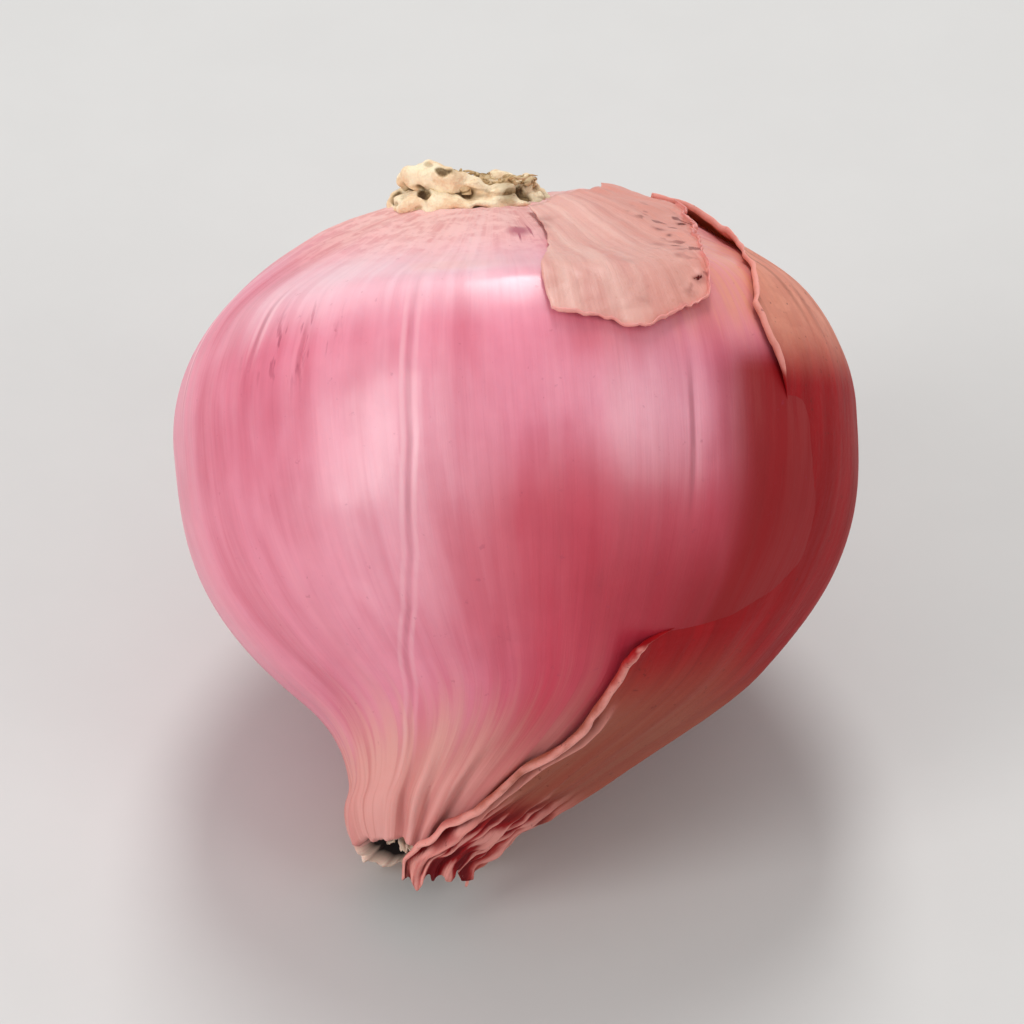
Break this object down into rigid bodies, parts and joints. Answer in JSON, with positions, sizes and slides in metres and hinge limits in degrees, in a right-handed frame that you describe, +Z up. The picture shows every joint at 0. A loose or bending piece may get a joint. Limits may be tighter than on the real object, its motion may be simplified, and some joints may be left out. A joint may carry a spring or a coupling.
{
  "type": "pink shallot",
  "caption": "Pink shallot bulb lying on its belly, with torn papery skin, a corky root plate with short dry roots and a dried neck.",
  "frame": {"origin": "on the small flat spot of the belly that the shallot lies on, under the deepest point of the bulb", "axes": "+Z up, -Y the way the neck points along the surface, +X to the right of someone who faces the neck's side of the bulb"},
  "size_m": [0.0345, 0.034, 0.0322],
  "materials": {
    "pink_skin": "glossy papery skin, pink with fine veins",
    "papery_skin": "dry papery skin, tan to orange pink, torn edges",
    "root_cork": "dry cork, matt, cracked",
    "root_fibre": "dry root fibre, matt",
    "dry_leaf": "dried leaf ends, brown, matt"
  },
  "bodies": {
    "root": {"bulb": "pink_skin", "outer_skin": "papery_skin", "shoulder_flap": "papery_skin", "root_plate": "root_cork", "root_01": "root_fibre", "root_02": "root_fibre", "root_03": "root_fibre", "root_04": "root_fibre", "root_05": "root_fibre", "root_06": "root_fibre", "root_07": "root_fibre", "root_08": "root_fibre", "root_09": "root_fibre", "root_10": "root_fibre", "root_11": "root_fibre", "root_12": "root_fibre", "root_13": "root_fibre", "root_14": "root_fibre", "dry_leaf_1": "dry_leaf", "dry_leaf_2": "dry_leaf", "dry_leaf_3": "dry_leaf", "dry_leaf_4": "dry_leaf"}
  },
  "joints": []
}
